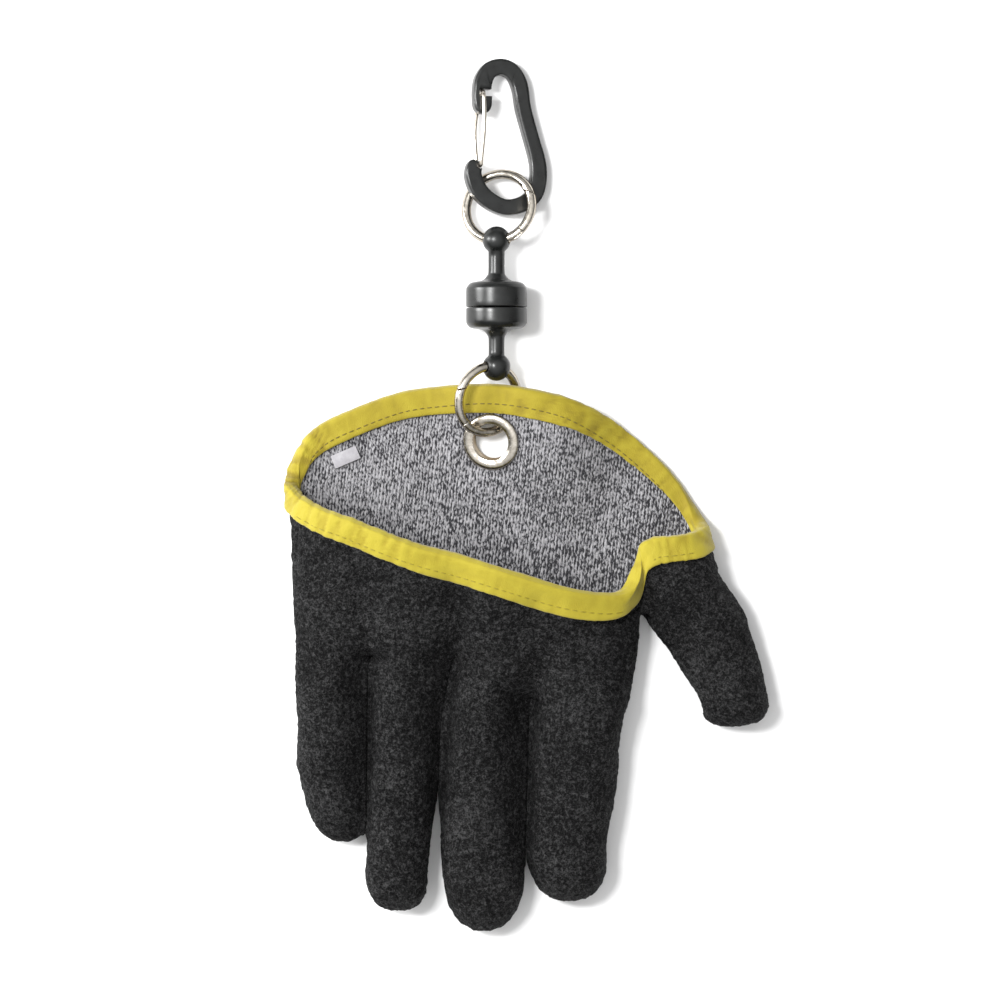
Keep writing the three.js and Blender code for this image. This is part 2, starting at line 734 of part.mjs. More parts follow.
// Binding: a tape folded over the rim, following the wall on both faces
function rimBinding(skin, normals) {
  const near = cloth_gap;
  const far = cloth_gap + binding_tape;
  const rings = skin.rows.slice(0, rim_rows + 1);
  const count = rings[0].length;
  const points = [];
  for (let column = 0; column < count; column += 1) {
    const edge = skin.points[rings[0][column]];
    const below = skin.points[rings[1][column]];
    const normal = normals[rings[0][column]];
    const outward = edge.clone().sub(below).normalize();
    outward.addScaledVector(normal, -outward.dot(normal)).normalize();
    const off = (row, distance) => {
      const index = rings[row][column];
      return skin.points[index].clone().addScaledVector(normals[index], distance);
    };
    const fold = (reach, across) => edge.clone().addScaledVector(outward, reach)
      .addScaledVector(normal, across);
    points.push([
      off(2, far), off(1, far), off(0, far),
      fold(far * 0.75, near * 0.6), fold(far, -wall / 2), fold(far * 0.75, -wall - near * 0.6),
      off(0, -wall - far), off(1, -wall - far), off(2, -wall - far),
      off(2, -wall - near), off(1, -wall - near), off(0, -wall - near),
      fold(near, -wall / 2),
      off(0, near), off(1, near), off(2, near),
    ]);
  }
  const profile = points[0].length;
  const inner_leg = 9;
  const faces = [];
  points.forEach((unused, column) => {
    const next = (column + 1) % count;
    for (let step = 0; step < profile; step += 1) {
      const after = (step + 1) % profile;
      const a = column * profile + step;
      const b = column * profile + after;
      const c = next * profile + after;
      const d = next * profile + step;
      // The faces toward the inner wall are split along that wall's own diagonals
      if (step === inner_leg || step === inner_leg + 1) faces.push([a, d, b], [d, c, b]);
      else faces.push([a, c, b], [a, d, c]);
    }
  });
  const tape = toSolid(meshFromLists(points.flat(), faces));
  return toGeometry(mainBody(tape.subtract(toSolid(gloveShell(skin, normals, cloth_gap / 2)))));
}

// Bare folded label on the inner face of the back wall, its end tucked to the binding
function makeLabel() {
  const shape = new THREE.Shape();
  const x = label_length / 2;
  const y = label_width / 2;
  shape.moveTo(-x, -y).lineTo(x, -y).lineTo(x, y).lineTo(-x, y).closePath();
  const geometry = new THREE.ExtrudeGeometry(shape, { depth: label_thickness, bevelEnabled: false });
  return toGeometry(toSolid(geometry));
}

// Ring of round wire: an arc of a circle about the local Z axis
function wireArc(radius, wire, from, to, segments) {
  class Arc extends THREE.Curve {
    getPoint(t, target = new THREE.Vector3()) {
      const angle = degrees(mix(from, to, t));
      return target.set(radius * Math.cos(angle), radius * Math.sin(angle), 0);
    }
  }
  const shape = new THREE.Shape();
  shape.absarc(0, 0, wire, 0, Math.PI * 2);
  const geometry = new THREE.ExtrudeGeometry(shape, {
    steps: segments, curveSegments: wire_segments, extrudePath: new Arc(), bevelEnabled: false,
  });
  return toSolid(geometry);
}

function blockSolid(width, depth, height, place, turn = 0) {
  const geometry = new THREE.BoxGeometry(width, depth, height);
  geometry.rotateZ(turn);
  geometry.translate(place.x, place.y, place.z);
  return toSolid(geometry);
}

// Spring ring: a body open between latch and hinge, and a gate with a tongue on the hinge pin
function springRing(ring) {
  const { radius, latch, hinge } = ring;
  const wire = ring_wire_radius;
  const way = Math.sign(hinge - latch);
  const arcDegrees = (length) => (way * length * 180) / (Math.PI * radius);
  const ringPoint = (angle) => point(radius, 0, 0).applyAxisAngle(point(0, 0, 1), degrees(angle));
  const pin_place = ringPoint(hinge);
  const latch_place = ringPoint(latch);
  const latch_reach = latch_place.distanceTo(pin_place);
  const latch_overlap = arcDegrees(2 * wire);

  // Latch faces are round about the hinge pin, so that the gate's end swings clear of the body
  function sweep(reach) {
    const disc = roundBar(reach, 4 * wire, 72);
    disc.translate(pin_place.x, pin_place.y, 0);
    return toSolid(disc);
  }
  const latch_zone = blockSolid(8 * wire, 8 * wire, 4 * wire, latch_place, degrees(latch));

  const body_end = latch + 360 * way + latch_overlap;
  const slot_width = 2 * ring_tongue + 1;
  let body = wireArc(radius, wire, hinge - arcDegrees(ring_tongue), body_end, 32);
  body = body.subtract(sweep(latch_reach + ring_latch_gap / 2).intersect(latch_zone));
  body = body.subtract(blockSolid(slot_width, slot_width, 2 * ring_slot, pin_place, degrees(hinge)));
  const pin = roundBar(ring_pin_radius, 2 * wire * 0.8, 12);
  pin.translate(pin_place.x, pin_place.y, 0);
  body = mainBody(body).add(toSolid(pin));

  const gate_end = hinge + arcDegrees(ring_tongue) * 0.72;
  let gate = wireArc(radius, wire, latch - latch_overlap, gate_end, 12);
  gate = gate.intersect(sweep(latch_reach - ring_latch_gap / 2));
  const blade = ring_slot - ring_clearance;
  const cheek = 2 * wire;
  const cheek_width = slot_width - 2 * ring_clearance;
  [1, -1].forEach((side) => {
    const place = pin_place.clone().setZ(side * (blade + cheek / 2));
    gate = gate.subtract(blockSolid(cheek_width, cheek_width, cheek, place, degrees(hinge)));
  });
  const pin_hole = roundBar(ring_pin_radius + ring_clearance, 4 * wire, 12);
  pin_hole.translate(pin_place.x, pin_place.y, 0);
  gate = gate.subtract(toSolid(pin_hole));
  return { body: toGeometry(body), gate: toGeometry(mainBody(gate)) };
}

// Centre of a ring, at the height that brings its wire through the head of its magnet half
function ringCentre(ring, ring_up, head_up) {
  const head_slope = ring.slope_across * -ring.across + ring.slope_up * (head_up - ring_up);
  return point(ring.across, ring_up, barrel_radius - head_slope);
}

function placeRing(ring, centre) {
  const place = slopeTurn(ring.slope_across, ring.slope_up);
  place.setPosition(centre);
  return place;
}

// One half of the magnetic release, turned about the local Y axis from the seam outward
function magnetHalf(half, direction, ring, ring_place) {
  const face = seam_gap / 2;
  const shoulder = half.shoulder;
  const neck_start = half.barrel + neck_flare;
  const ball_start = half.head_at - Math.sqrt(head_radius ** 2 - half.neck ** 2);
  const outline = [[0, face], [barrel_radius - seam_edge, face], [barrel_radius, face + seam_edge]];
  steps(4).forEach((t) => {
    const turn = (Math.PI / 2) * t;
    outline.push([
      barrel_radius - shoulder + shoulder * Math.cos(turn),
      half.barrel - shoulder + shoulder * Math.sin(turn),
    ]);
  });
  steps(4).forEach((t) => {
    const turn = (Math.PI / 2) * t;
    outline.push([
      half.neck + neck_flare * (1 - Math.sin(turn)),
      mix(half.barrel + neck_start_gap, neck_start, 1 - Math.cos(turn)),
    ]);
  });
  outline.push([half.neck, ball_start]);
  const start = Math.asin(half.neck / head_radius);
  steps(6).slice(1).forEach((t) => {
    const turn = mix(start, Math.PI, t);
    outline.push([t < 1 ? head_radius * Math.sin(turn) : 0, half.head_at - head_radius * Math.cos(turn)]);
  });
  const profile = outline.map(([r, h]) => new THREE.Vector2(r, h * direction));
  if (direction < 0) profile.reverse();
  const geometry = new THREE.LatheGeometry(profile, 24);
  geometry.rotateY(-Math.atan(ring.slope_across));
  geometry.translate(0, seam_up, barrel_radius);
  const ring_side = -90 * direction;
  const bore_radius = ring_wire_radius + bore_clearance;
  const bore = toGeometry(wireArc(ring.radius, bore_radius, ring_side - 60, ring_side + 60, 12));
  bore.applyMatrix4(ring_place);
  return toGeometry(mainBody(toSolid(geometry).subtract(toSolid(bore))));
}

// Carabiner bar: its centre line from the hook's end round to the nose, by the clip's length
const clip_line = [
  { across: -0.172, up: 0.717, width: 0.94 },
  { across: -0.176, up: 0.67, width: 1 },
  { across: -0.146, up: 0.582, width: 1.02 },
  { across: -0.075, up: 0.508, width: 1 },
  { across: 0.035, up: 0.462, width: 0.96 },
  { across: 0.15, up: 0.485, width: 0.98 },
  { across: 0.23, up: 0.55, width: 1 },
  { across: 0.258, up: 0.65, width: 0.98 },
  { across: 0.254, up: 0.76, width: 0.94 },
  { across: 0.217, up: 0.9, width: 0.9 },
  { across: 0.158, up: 1.12, width: 0.9 },
  { across: 0.137, up: 1.255, width: 0.95 },
  { across: 0.09, up: 1.345, width: 0.96 },
  { across: 0.018, up: 1.378, width: 0.98 },
  { across: -0.068, up: 1.35, width: 1.03 },
  { across: -0.11, up: 1.27, width: 1.1 },
  { across: -0.113, up: 1.175, width: 1.16 },
  { across: -0.113, up: 1.13, width: 1.1 },
];
const clipPoint = (row) => point(row.across * clip_length, clip_base + row.up * clip_length, 0);
const gate_pivot = clipPoint(gate_pivot_at);
const gate_nose = clipPoint(gate_nose_at);

function clipOutline() {
  const curve = new THREE.CatmullRomCurve3(clip_line.map(clipPoint), false, 'centripetal');
  const count = 34;
  const left = [];
  const right = [];
  steps(count).forEach((t) => {
    const centre = curve.getPoint(t);
    const tangent = curve.getTangent(t);
    const at = t * (clip_line.length - 1);
    const row = Math.min(clip_line.length - 2, Math.floor(at));
    const half = (mix(clip_line[row].width, clip_line[row + 1].width, at - row) * clip_bar_width) / 2;
    const side = new THREE.Vector2(-tangent.y, tangent.x).multiplyScalar(half - clip_edge);
    left.push(new THREE.Vector2(centre.x + side.x, centre.y + side.y));
    right.push(new THREE.Vector2(centre.x - side.x, centre.y - side.y));
  });
  const cap = (from, to, centre) => steps(4).slice(1, 4).map((t) => {
    const start = from.clone().sub(centre);
    const turned_arm = start.rotateAround(new THREE.Vector2(), -Math.PI * t);
    return turned_arm.add(centre);
  });
  const nose = left[count].clone().lerp(right[count], 0.5);
  const hook = left[0].clone().lerp(right[0], 0.5);
  return new THREE.Shape([
    ...left,
    ...cap(left[count], right[count], nose),
    ...right.reverse(),
    ...cap(right[count], left[0], hook),
  ]);
}

function makeClipBody() {
  const geometry = new THREE.ExtrudeGeometry(clipOutline(), {
    depth: clip_bar_height - 2 * clip_edge,
    bevelThickness: clip_edge,
    bevelSize: clip_edge,
    bevelSegments: 2,
    curveSegments: 4,
  });
  geometry.translate(0, 0, clip_edge);
  let body = toSolid(geometry);
  const hole = roundBar(gate_wire_radius + gate_clearance, 3 * clip_bar_height, 12);
  hole.translate(gate_pivot.x, gate_pivot.y, clip_bar_height / 2);
  body = body.subtract(toSolid(hole));
  const notch_length = clip_bar_width;
  const notch_place = point(
    gate_nose.x - gate_wire_radius - gate_clearance + notch_length / 2,
    gate_nose.y,
    clip_bar_height / 2,
  );
  const notch = blockSolid(notch_length, gate_notch_height, 3 * clip_bar_height, notch_place);
  return toGeometry(body.subtract(notch));
}

// Wire gate: one bent wire, its ends in the pivot hole and its bend in the nose's notch
function makeClipGate() {
  const middle = clip_bar_height / 2;
  const face = clip_bar_height / 2 + gate_clearance + gate_wire_radius;
  const half_way = gate_pivot.clone().lerp(gate_nose, 0.5);
  const bend = gate_bend;
  const path = new THREE.CatmullRomCurve3([
    point(gate_pivot.x, gate_pivot.y, middle + 2 * bend),
    point(gate_pivot.x, gate_pivot.y, middle + face - bend),
    point(gate_pivot.x, gate_pivot.y + 2 * bend, middle + face),
    point(half_way.x + bend, half_way.y, middle + face),
    point(gate_nose.x, gate_nose.y - 2 * bend, middle + face),
    point(gate_nose.x, gate_nose.y, middle + face - bend),
    point(gate_nose.x, gate_nose.y, middle - face + bend),
    point(gate_nose.x, gate_nose.y - 2 * bend, middle - face),
    point(half_way.x - 2 * bend, half_way.y, middle - face),
    point(gate_pivot.x, gate_pivot.y + 2 * bend, middle - face),
    point(gate_pivot.x, gate_pivot.y, middle - face + bend),
    point(gate_pivot.x, gate_pivot.y, middle - 2 * bend),
  ], false, 'centripetal');
  const shape = new THREE.Shape();
  shape.absarc(0, 0, gate_wire_radius, 0, Math.PI * 2);
  return toGeometry(toSolid(new THREE.ExtrudeGeometry(shape, {
    steps: 30, curveSegments: gate_segments, extrudePath: path, bevelEnabled: false,
  })));
}

// Colours and finishes
const finishes = {
  coated_knit: { color: 0x1b1b1c, roughness: 0.8, metalness: 0 },
  binding: { color: 0xd9c91e, roughness: 0.75, metalness: 0 },
  label: { color: 0xe6e6e2, roughness: 0.8, metalness: 0 },
  nickel: { color: 0xb9b2a6, roughness: 0.28, metalness: 1 },
  black_satin: { color: 0x1d1e1f, roughness: 0.42, metalness: 0.4 },
  steel_wire: { color: 0xc4bcae, roughness: 0.3, metalness: 1 },
};

function piece(name, geometry, finish) {
  const mesh = new THREE.Mesh(geometry, new THREE.MeshStandardMaterial(finishes[finish]));
  mesh.name = name;
  return mesh;
}

function placed(group, matrix) {
  matrix.decompose(group.position, group.quaternion, group.scale);
  return group;
}

function buildGlove() {
  const group = new THREE.Group();
  const skin = makeSkin();
  const normals = pointNormals(skin.points, skin.faces);
  group.add(piece('glove_shell', cutGrommetHole(gloveShell(skin, normals)), 'coated_knit'));
  group.add(piece('rim_binding', rimBinding(skin, normals), 'binding'));
  const grommet = piece('grommet', toGeometry(makeGrommet()), 'nickel');
  const grommet_place = grommet_turn.clone().setPosition(grommet_centre);
  group.add(placed(grommet, grommet_place));
  const label = piece('size_label', makeLabel(), 'label');
  label.position.set(label_across, label_up, binding_stack + wall + label_clearance);
  label.rotation.z = degrees(label_turn);
  group.add(label);
  return group;
}

function buildHardware() {
  const group = new THREE.Group();
  const upper_place = placeRing(upper_ring, ringCentre(upper_ring, upper_ring_up, upper_head_up));
  const lower_place = placeRing(lower_ring, ringCentre(lower_ring, lower_ring_up, lower_head_up));
  const pairs = [['upper', upper_ring, upper_place], ['lower', lower_ring, lower_place]];
  pairs.forEach(([name, ring, place]) => {
    const parts = springRing(ring);
    const holder = placed(new THREE.Group(), place);
    holder.add(piece(`${name}_ring_body`, parts.body, 'nickel'));
    holder.add(piece(`${name}_ring_gate`, parts.gate, 'nickel'));
    group.add(holder);
  });
  group.add(piece('magnet_upper', magnetHalf(upper_half, 1, upper_ring, upper_place), 'black_satin'));
  group.add(piece('magnet_lower', magnetHalf(lower_half, -1, lower_ring, lower_place), 'black_satin'));

  // The clip leans on the edge of its long leg, so that the ring fits under its hook
  const clip = new THREE.Group();
  clip.add(piece('clip_body', makeClipBody(), 'black_satin'));
  clip.add(piece('clip_gate', makeClipGate(), 'steel_wire'));
  const foot = clipPoint(clip_foot);
  const axis = point(clip_foot.toward_across, clip_foot.toward_up, 0).normalize();
  const lean = new THREE.Matrix4().makeTranslation(foot.x, foot.y, foot.z)
    .multiply(new THREE.Matrix4().makeRotationAxis(axis, degrees(clip_tilt)))
    .multiply(new THREE.Matrix4().makeTranslation(-foot.x, -foot.y, -foot.z));
  group.add(placed(clip, lean));
  return group;
}

// Whole object, moved so that its origin is the centre of its underside
const fishing_glove = new THREE.Group();
fishing_glove.add(buildGlove(), buildHardware());
fishing_glove.updateMatrixWorld(true);
const extent = new THREE.Box3().setFromObject(fishing_glove, true);
const middle_point = extent.getCenter(new THREE.Vector3());
fishing_glove.position.set(-middle_point.x, -middle_point.y, -extent.min.z);

export default fishing_glove;
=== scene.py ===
"""Looks of the fishing glove: crinkle coated cloth, grey knit lining, gathered binding, metal and light.

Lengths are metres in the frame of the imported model: +Z up, +X to the thumb, +Y to the carabiner.
"""
import math

import bmesh
import bpy
import numpy as np
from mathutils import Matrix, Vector, noise
from mathutils.bvhtree import BVHTree


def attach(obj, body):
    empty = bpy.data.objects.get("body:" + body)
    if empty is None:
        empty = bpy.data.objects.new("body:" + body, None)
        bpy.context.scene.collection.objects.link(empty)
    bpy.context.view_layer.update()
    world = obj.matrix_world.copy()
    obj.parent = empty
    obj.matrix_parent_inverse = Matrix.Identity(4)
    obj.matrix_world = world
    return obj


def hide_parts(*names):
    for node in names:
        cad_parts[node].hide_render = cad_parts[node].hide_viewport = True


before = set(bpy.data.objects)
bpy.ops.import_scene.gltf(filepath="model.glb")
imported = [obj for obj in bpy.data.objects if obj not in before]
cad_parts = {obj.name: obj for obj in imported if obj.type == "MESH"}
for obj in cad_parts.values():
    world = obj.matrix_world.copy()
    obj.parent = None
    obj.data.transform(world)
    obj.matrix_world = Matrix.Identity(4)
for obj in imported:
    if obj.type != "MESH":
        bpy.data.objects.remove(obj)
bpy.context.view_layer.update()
MM = 0.001

# Camera: straight above, at the photo's centre and scale
VIEW_CENTRE = (-7.67 * MM, -1.48 * MM)
VIEW_WIDTH = 285 * MM
VIEW_LEVEL = 10 * MM
CAMERA_HEIGHT = 1.3
SENSOR_WIDTH = 36

# Lights: name, place in metres, width and length in metres, power in watts
LIGHTS = [
    ("key", (-0.6, 0.26, 1.3), 0.24, 0.36, 20),
    ("rake", (-1.25, 0.3, 0.5), 0.3, 0.6, 20),
]
WORLD_STRENGTH = 0.93
FLOOR_SIZE = 8
FLOOR_LEVEL = -0.0001

# Refining the faceted solids
MERGE_DISTANCE = 2e-6
JOIN_ANGLE = math.radians(40)
EDGE_CREASE = 0.85

# Cloth
BAND_WIDTH = 6.2 * MM
CRINKLE_HEIGHT = 0.32 * MM
DENT_HEIGHT = 0.7 * MM
COAT_LEVEL = 0.05 * MM
TAPE_FADE = 2 * MM
GATHER_HEIGHT = 0.34 * MM
GATHER_PITCH = 2.6 * MM
STITCH_PITCH = 2.3 * MM
STITCH_LENGTH = 1.5 * MM
STITCH_RADIUS = 0.17 * MM
STITCH_INSET = 4.6 * MM
STITCH_LIFT = 0.05 * MM
SHORTEST_STITCH = 0.5 * MM
SEAM_STEP = 0.25 * MM
RIM_STEP = 0.5 * MM
WALE_WIDTH = 0.95 * MM
KNIT_TURN = math.radians(7)

# Rim of the opening from above, both from the left end to the right one, in millimetres
FRONT_RIM = [
    (-68.1, 2.3), (-64.0, -1.7), (-57.5, -5.2), (-50.4, -7.7), (-39.3, -12.3), (-28.5, -16.0),
    (-18.5, -18.6), (-4.8, -22.8), (9.4, -27.1), (19.2, -28.8), (25.7, -28.8), (30.8, -26.4),
    (31.7, -22.0), (31.2, -17.7), (34.8, -13.7), (42.1, -12.6), (47.8, -11.6), (50.4, -9.3),
]
BACK_RIM = [
    (-68.1, 2.3), (-67.6, 6.2), (-65.5, 12.8), (-59.8, 18.5), (-51.0, 22.8), (-36.2, 28.2),
    (-20.8, 30.2), (-8.8, 30.5), (2.9, 28.8), (14.5, 25.3), (26.3, 18.5), (34.2, 12.2),
    (41.9, 4.8), (47.1, -2.1), (49.4, -6.0), (50.4, -9.3),
]

# Valleys between the fingers, running on into the palm: x, y and depth of their floor, in millimetres
VALLEYS = [
    [(-44.0, -24.0, 0.0), (-44.8, -38.0, 1.2), (-45.4, -46.0, 3.0), (-45.9, -64.0, 4.2),
     (-46.4, -86.0, 3.0), (-46.8, -98.0, 0.6)],
    [(-16.8, -24.0, 0.0), (-18.6, -38.0, 1.4), (-20.9, -46.0, 3.4), (-22.4, -60.0, 5.2),
     (-24.4, -82.0, 4.6), (-25.6, -100.0, 1.6)],
    [(8.6, -38.0, 0.0), (5.2, -48.0, 1.8), (1.6, -58.0, 4.6), (0.8, -64.0, 6.4), (0.4, -78.0, 6.2),
     (-0.4, -92.0, 4.2), (-0.6, -103.0, 1.5)],
]
VALLEY_LEFT = 5.6 * MM
VALLEY_RIGHT = 2.2 * MM
FINGER_HEIGHT = 18 * MM
NARROW_GAP = 2.4 * MM
FINGERS_START = -30 * MM

# Step between palm and fingers on the upper wall
KNUCKLE_LINE = -45 * MM
KNUCKLE_SPREAD = 9 * MM
UPPER_WALL_LEVEL = 9 * MM
KNUCKLE_PASSES = 10

# The tape is smooth beside the gate of the lower ring
LOWER_GATE_PLACE = (-17.5 * MM, 24 * MM)
SMOOTH_TAPE_RADIUS = 6 * MM
SMOOTH_TAPE_FADE = 4 * MM

# Stitch: share of its length and share of its radius
STITCH_GIRTHS = ((0, 0.35), (0.2, 0.9), (0.5, 1.0), (0.8, 0.9), (1, 0.35))
STITCH_SIDES = 6


# Material helpers

class Nodes:
    """A short way to write one node material."""

    def __init__(self, name):
        self.material = bpy.data.materials.new(name)
        self.material.use_nodes = True
        self.tree = self.material.node_tree
        self.shader = self.tree.nodes["Principled BSDF"]

    def add(self, kind, **values):
        node = self.tree.nodes.new(kind)
        for key, value in values.items():
            node.inputs[key].default_value = value
        return node

    def link(self, source, target):
        self.tree.links.new(source, target)

    def coordinates(self, scale=(1000, 1000, 1000), turn=(0, 0, 0)):
        """Object coordinates, in millimetres unless another scale is given."""
        place = self.add("ShaderNodeTexCoord")
        mapping = self.add("ShaderNodeMapping", Scale=scale, Rotation=turn)
        self.link(place.outputs["Object"], mapping.inputs["Vector"])
        return mapping.outputs["Vector"]

    def noise(self, vector, scale, detail=3.0, roughness=0.55, distortion=0.0):
        node = self.add(
            "ShaderNodeTexNoise",
            Scale=scale, Detail=detail, Roughness=roughness, Distortion=distortion,
        )
        self.link(vector, node.inputs["Vector"])
        return node.outputs["Fac"]

    def cells(self, vector, scale):
        node = self.add("ShaderNodeTexVoronoi", Scale=scale)
        self.link(vector, node.inputs["Vector"])
        return node

    def ramp(self, value, stops):
        node = self.add("ShaderNodeValToRGB")
        elements = node.color_ramp.elements
        while len(elements) < len(stops):
            elements.new(0.5)
        for element, (position, color) in zip(elements, stops):
            element.position = position
            element.color = (*color, 1)
        self.link(value, node.inputs["Fac"])
        return node.outputs["Color"]

    def math(self, operation, first, second=None):
        node = self.add("ShaderNodeMath")
        node.operation = operation
        for index, value in enumerate((first, second)):
            if value is None:
                continue
            if isinstance(value, (int, float)):
                node.inputs[index].default_value = value
            else:
                self.link(value, node.inputs[index])
        return node.outputs[0]

    def bump(self, height, distance, strength=1.0, normal=None):
        node = self.add("ShaderNodeBump", Distance=distance, Strength=strength)
        self.link(height, node.inputs["Height"])
        if normal is not None:
            self.link(normal, node.inputs["Normal"])
        return node.outputs["Normal"]

    def set(self, **values):
        for key, value in values.items():
            socket = self.shader.inputs[key.replace("_", " ")]
            if isinstance(value, (int, float, tuple)):
                socket.default_value = value
            else:
                self.link(value, socket)


def coating_material():
    """Black latex with a fine crinkle, with painted highlights on the crests of its bump and painted
    shade in its hollows.
    """
    m = Nodes("black_crinkle_latex")
    place = m.coordinates()
    crumb = m.noise(place, 0.85, detail=4.0, roughness=0.7, distortion=0.6)
    grain = m.noise(place, 2.0, detail=3.0, roughness=0.65)
    cloud = m.noise(place, 0.09, detail=3.0)
    crest_light_and_gloss = m.math("ADD", m.math("MULTIPLY", crumb, 0.55), m.math("MULTIPLY", grain, 0.45))
    crest_light_and_gloss = m.math("ADD", crest_light_and_gloss, m.math("MULTIPLY", m.math("SUBTRACT", cloud, 0.5), 0.12))
    # Painted light and shade: the colour follows the bump height, near black in its hollows and grey on
    # its crests.
    shade = m.ramp(crest_light_and_gloss, [(0.42, (0.0012, 0.0012, 0.0014)), (0.48, (0.009, 0.009, 0.0093)),
                           (0.54, (0.03, 0.03, 0.0305)), (0.61, (0.07, 0.07, 0.071))])
    normal = m.bump(crumb, 2.2 * MM, 1.0)
    m.set(Base_Color=shade, Normal=m.bump(grain, 0.8 * MM, 0.9, normal),
          Roughness=m.ramp(crest_light_and_gloss, [(0.35, (0.85,) * 3), (0.65, (0.6,) * 3)]))
    m.set(Specular_IOR_Level=0.12)
    return m.material


def knit_material():
    """Grey and black melange knit: short flecks in upright wales, with a loop relief, painted shade in
    the grooves between the wales and painted shade deepening towards +X and -Y.
    """
    m = Nodes("grey_melange_knit")
    place = m.coordinates(turn=(0, 0, KNIT_TURN))
    parts = m.add("ShaderNodeSeparateXYZ")
    m.link(place, parts.inputs[0])
    x, y, z = parts.outputs
    wale = m.math("MULTIPLY", x, 1 / (WALE_WIDTH / MM))
    column = m.math("FLOOR", wale)
    across = m.math("SUBTRACT", m.math("FRACT", wale), 0.5)
    lean = m.math("MULTIPLY", m.math("ABSOLUTE", across), 1.5)
    up = m.math("ADD", m.math("MULTIPLY", m.math("ADD", y, z), 1.05), lean)
    fleck_place = m.add("ShaderNodeCombineXYZ")
    m.link(m.math("MULTIPLY", column, 3.7), fleck_place.inputs[0])
    m.link(m.math("MULTIPLY", up, 0.42), fleck_place.inputs[1])
    m.link(m.math("MULTIPLY", across, 0.5), fleck_place.inputs[2])
    streak = m.noise(fleck_place.outputs[0], 1.0, detail=2.0, roughness=0.6)
    stretched = m.coordinates(scale=(2300, 1050, 1050), turn=(0, 0, KNIT_TURN))
    fleck = m.noise(stretched, 1.0, detail=1.0, roughness=0.5)
    cloud = m.noise(place, 0.06, detail=2.0)
    fine = m.noise(place, 3.6, detail=1.0)
    # Painted shade: lighter on the raised middle of each wale, darker in the grooves between the wales.
    rib = m.math("MULTIPLY", m.math("SUBTRACT", 0.25, m.math("ABSOLUTE", across)), 0.24)
    balance = m.math("ADD", m.math("MULTIPLY", streak, 0.42), m.math("MULTIPLY", fleck, 0.62))
    balance = m.math("ADD", balance, rib)
    balance = m.math("ADD", balance, m.math("MULTIPLY", m.math("SUBTRACT", cloud, 0.5), 0.06))
    # Painted shade: the knit darkens steadily towards +X and -Y.
    balance = m.math("SUBTRACT", balance, m.math("MULTIPLY", m.math("SUBTRACT", x, y), 0.0004))
    shade = m.ramp(balance, [(0.43, (0.006, 0.006, 0.009)), (0.49, (0.05, 0.049, 0.055)),
                             (0.54, (0.2, 0.197, 0.208)), (0.66, (0.33, 0.325, 0.34))])
    loops = m.math("SINE", m.math("MULTIPLY", up, 2 * math.pi))
    relief = m.math("ADD", m.math("MULTIPLY", loops, 0.3),
                    m.math("SUBTRACT", 1.0, m.math("MULTIPLY", m.math("ABSOLUTE", across), 2.0)))
    normal = m.bump(relief, 0.22 * MM, 0.9)
    m.set(Base_Color=shade, Normal=m.bump(fine, 0.2 * MM, 0.6, normal), Roughness=0.92)
    m.set(Specular_IOR_Level=0.2, Sheen_Weight=0.25, Sheen_Roughness=0.6)
    return m.material


def binding_material():
    """Yellow bias tape: a fine plain weave, with painted shade in the valleys of its gathers and painted
    light on their crests.
    """
    m = Nodes("yellow_tape")
    place = m.coordinates()
    weave = m.cells(place, 3.2)
    cloud = m.noise(place, 0.16, detail=3.0)
    fold_shade_and_band_tone = m.add("ShaderNodeAttribute")
    fold_shade_and_band_tone.attribute_name = "fold_shade_and_band_tone"
    patchy = m.math("MULTIPLY", m.math("SUBTRACT", cloud, 0.5), 0.5)
    depth = m.math("ADD", fold_shade_and_band_tone.outputs["Fac"], patchy)
    # Painted shade: darker where the attribute is low, in the gather valleys, and lighter on the pleat
    # crests; the back band is darker as a whole.
    shade = m.ramp(depth, [(0.08, (0.2, 0.15, 0.006)), (0.34, (0.28, 0.22, 0.01)),
                           (0.7, (0.36, 0.297, 0.02))])
    normal = m.bump(weave.outputs["Distance"], 0.12 * MM, 0.5)
    m.set(Base_Color=shade, Normal=m.bump(cloud, 0.8 * MM, 0.35, normal), Roughness=0.72)
    m.set(Specular_IOR_Level=0.3, Sheen_Weight=0.2, Sheen_Roughness=0.5)
    return m.material


def thread_material(name, dark, light):
    """Twisted thread, a shade darker than the tape."""
    m = Nodes(name)
    twist = m.noise(m.coordinates(), 5.0, detail=1.0)
    shade = m.ramp(twist, [(0.3, dark), (0.7, light)])
    m.set(Base_Color=shade, Normal=m.bump(twist, 0.1 * MM, 0.5), Roughness=0.6)
    return m.material


def label_material():
    """White woven label with a fine rib."""
    m = Nodes("white_label")
    place = m.coordinates(turn=(0, 0, math.radians(-23)))
    rib = m.add("ShaderNodeTexWave", Scale=1.6, Distortion=0.3)
    m.link(place, rib.inputs["Vector"])
    soil = m.noise(place, 0.6)
    shade = m.ramp(soil, [(0.3, (0.3, 0.29, 0.31)), (0.7, (0.38, 0.37, 0.39))])
    m.set(Base_Color=shade, Normal=m.bump(rib.outputs["Fac"], 0.08 * MM, 0.5), Roughness=0.8)
    return m.material


